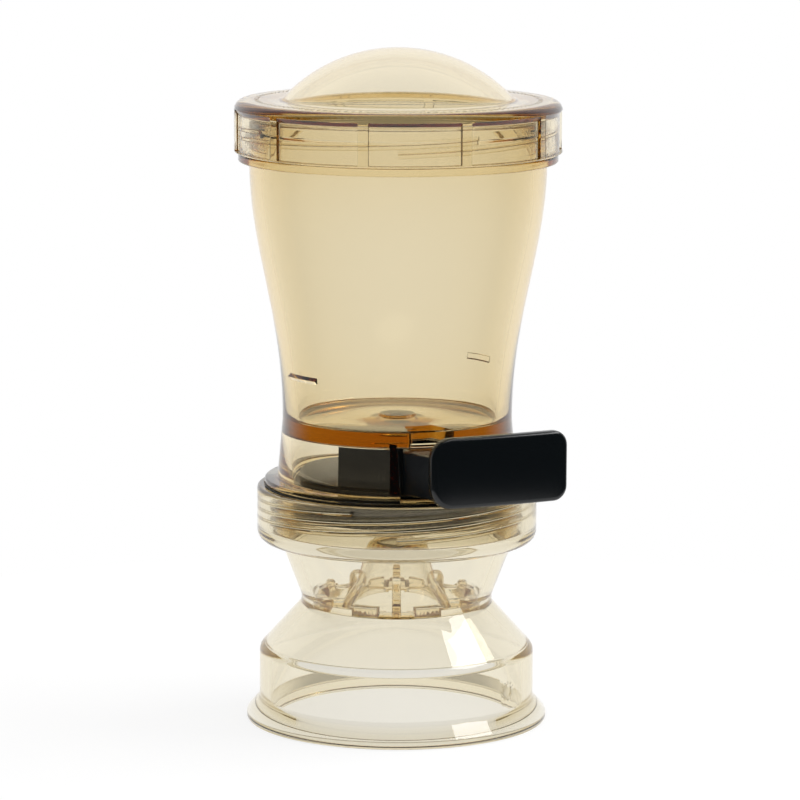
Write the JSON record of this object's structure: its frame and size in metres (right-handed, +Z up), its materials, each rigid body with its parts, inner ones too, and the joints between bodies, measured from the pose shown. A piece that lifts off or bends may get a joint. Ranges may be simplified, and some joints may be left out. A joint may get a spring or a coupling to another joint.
{
  "type": "seasoning dispenser",
  "caption": "Clear hourglass seasoning dispenser with screw lid, hopper, thumb lever that drops a measured dose, and a bell base with a spreader.",
  "frame": {"origin": "on the vertical axis, at the underside of the base's foot", "axes": "+Z up along the axis, -Y towards the viewer's front, the lever's paddle reaches out to the front right at +X"},
  "size_m": [0.1118, 0.1102, 0.2283],
  "materials": {
    "amber_plastic": "clear amber moulding, polished",
    "smoky_plastic": "clear, faintly smoky moulding, polished",
    "black_plastic": "black moulding, satin gloss",
    "seal_rubber": "matt black rubber",
    "lid_rubber": "clear silicone, faintly amber",
    "spring_steel": "bright drawn wire"
  },
  "bodies": {
    "base": {"base": "smoky_plastic", "spreader": "amber_plastic"},
    "joint_seal": {"collar_gasket": "seal_rubber"},
    "hopper": {"hopper": "amber_plastic", "bottom_plate": "black_plastic"},
    "lever": {"lever": "black_plastic", "lever_spring": "spring_steel"},
    "lid_seal": {"lid_seal": "lid_rubber"},
    "lid": {"lid": "amber_plastic"}
  },
  "joints": [
    {"name": "hopper_lift", "type": "slide", "parent": "base", "child": "joint_seal", "axis": [0, 0, 1], "range_m": [0, 0.0211]},
    {"name": "hopper_turn", "type": "hinge", "parent": "joint_seal", "child": "hopper", "pos_m": [0, 0, 0.0724], "axis": [0, 0, 1], "range_deg": [0, 630]},
    {"name": "lever_push", "type": "hinge", "parent": "hopper", "child": "lever", "pos_m": [0, 0, 0.0912], "axis": [0, 0, 1], "range_deg": [0, 27], "stiffness_Nm_per_rad": 0.15, "springref_deg": -28.65},
    {"name": "lid_lift", "type": "slide", "parent": "hopper", "child": "lid_seal", "axis": [0, 0, 1], "range_m": [0, 0.0181]},
    {"name": "lid_turn", "type": "hinge", "parent": "lid_seal", "child": "lid", "pos_m": [0, 0, 0.2], "axis": [0, 0, 1], "range_deg": [0, 540]}
  ],
  "couplings": [
    {"joint": "hopper_lift", "follows": "hopper_turn", "m_per_rad": 0.0019099},
    {"joint": "lid_lift", "follows": "lid_turn", "m_per_rad": 0.0019099}
  ]
}
